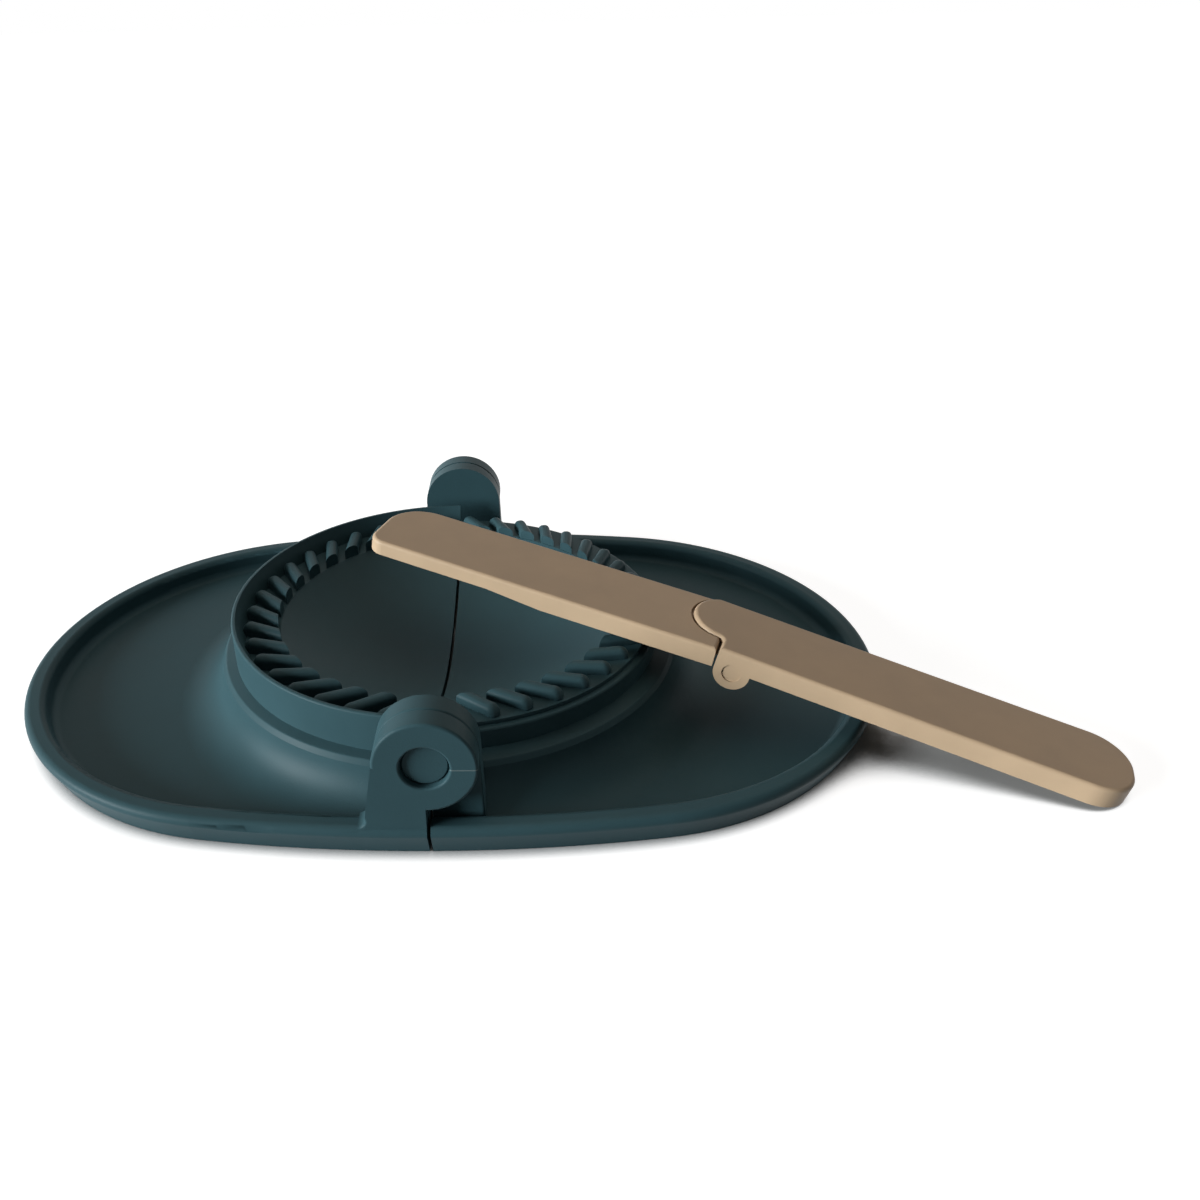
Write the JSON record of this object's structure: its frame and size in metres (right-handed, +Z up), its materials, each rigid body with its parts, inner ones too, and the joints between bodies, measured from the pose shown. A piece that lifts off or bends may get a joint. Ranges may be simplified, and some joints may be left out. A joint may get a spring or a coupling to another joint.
{
  "type": "empanada press",
  "caption": "Hinged dough press with an oval winged tray, a round crimping ring and bowl across both halves, and a folding filling spatula.",
  "frame": {"origin": "on the table under the middle of the hinge axis, between the two halves", "axes": "+X runs across the wings towards the half that folds over, +Y along the hinge axis to the rear, +Z up"},
  "size_m": [0.243, 0.1296, 0.0377],
  "materials": {
    "press_plastic": "fine satin moulded plastic, dark slate teal",
    "spatula_plastic": "fine satin moulded plastic, warm beige"
  },
  "bodies": {
    "left_half": {"left_half": "press_plastic"},
    "right_half": {"right_half": "press_plastic", "front_hinge_pin": "press_plastic", "rear_hinge_pin": "press_plastic"},
    "spatula_handle": {"spatula_handle": "spatula_plastic", "spatula_pin": "spatula_plastic"},
    "spatula_blade": {"spatula_blade": "spatula_plastic"}
  },
  "joints": [
    {"name": "press_fold", "type": "hinge", "parent": "left_half", "child": "right_half", "pos_m": [0, 0, 0.0215], "axis": [0, -1, 0], "range_deg": [0, 180]},
    {"name": "spatula_lift", "type": "slide", "parent": "left_half", "child": "spatula_handle", "axis": [0, 0, 1], "range_m": [0, 0.38]},
    {"name": "spatula_fold", "type": "hinge", "parent": "spatula_handle", "child": "spatula_blade", "pos_m": [0.06535, -0.0184, 0.01795], "axis": [-0.3284, -0.9445, 0], "range_deg": [-2.9, 163]}
  ],
  "couplings": [
    {"joint": "spatula_lift", "follows": "press_fold", "m_per_rad": 0.12},
    {"joint": "spatula_fold", "follows": "press_fold", "ratio": 0.9}
  ]
}
